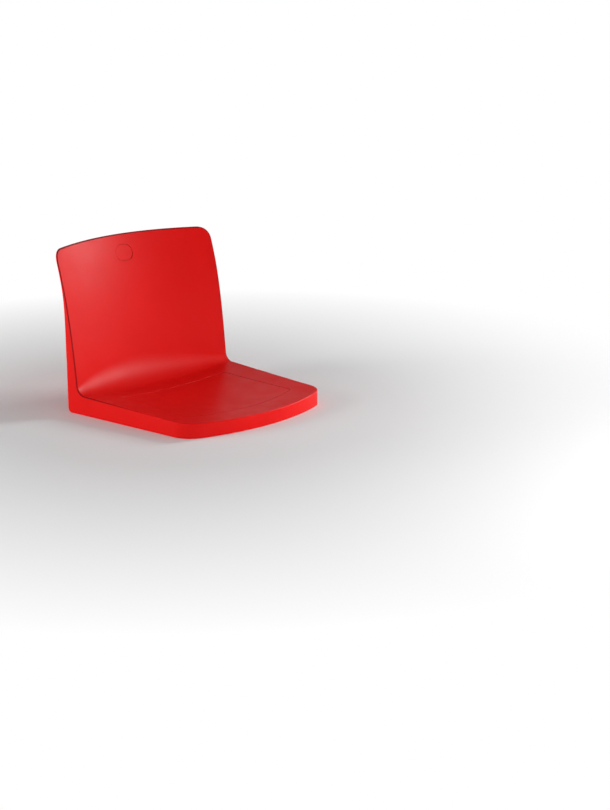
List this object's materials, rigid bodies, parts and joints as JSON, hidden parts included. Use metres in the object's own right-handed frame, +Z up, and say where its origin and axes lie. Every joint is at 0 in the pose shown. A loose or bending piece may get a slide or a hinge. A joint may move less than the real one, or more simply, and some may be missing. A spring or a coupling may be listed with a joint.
{
  "type": "stadium seat",
  "caption": "Fixed stadium seat: a one-piece moulded shell with a curved low back, skirted sides, a lift-off pan cover and hidden steel fixing rails.",
  "frame": {"origin": "on the step's surface, in the middle of the seat's box", "axes": "+Z up; the sitter faces -Y, so the backrest is towards +Y; +X runs across the seat, towards the sitter's left hand"},
  "size_m": [0.45, 0.4719, 0.351],
  "materials": {
    "shell_plastic": "satin moulded polypropylene, red",
    "cover_plastic": "satin moulded polypropylene, red",
    "plate_plastic": "satin moulded plastic, red, blank",
    "galvanised_steel": "hot-dip galvanised",
    "zinc_plated_steel": "bright zinc plated"
  },
  "bodies": {
    "seat": {"seat_shell": "shell_plastic", "number_plate": "plate_plastic", "left_fixing_rail": "galvanised_steel", "right_fixing_rail": "galvanised_steel", "seat_stud_front_left": "zinc_plated_steel", "seat_stud_rear_left": "zinc_plated_steel", "seat_stud_front_right": "zinc_plated_steel", "seat_stud_rear_right": "zinc_plated_steel", "stud_washer_front_left": "zinc_plated_steel", "stud_washer_rear_left": "zinc_plated_steel", "stud_washer_front_right": "zinc_plated_steel", "stud_washer_rear_right": "zinc_plated_steel", "stud_nut_front_left": "zinc_plated_steel", "stud_nut_rear_left": "zinc_plated_steel", "stud_nut_front_right": "zinc_plated_steel", "stud_nut_rear_right": "zinc_plated_steel"},
    "cover": {"pan_cover": "cover_plastic"}
  },
  "joints": [
    {"name": "cover_lift", "type": "slide", "parent": "seat", "child": "cover", "axis": [0, 0, 1], "range_m": [0, 0.08]}
  ]
}
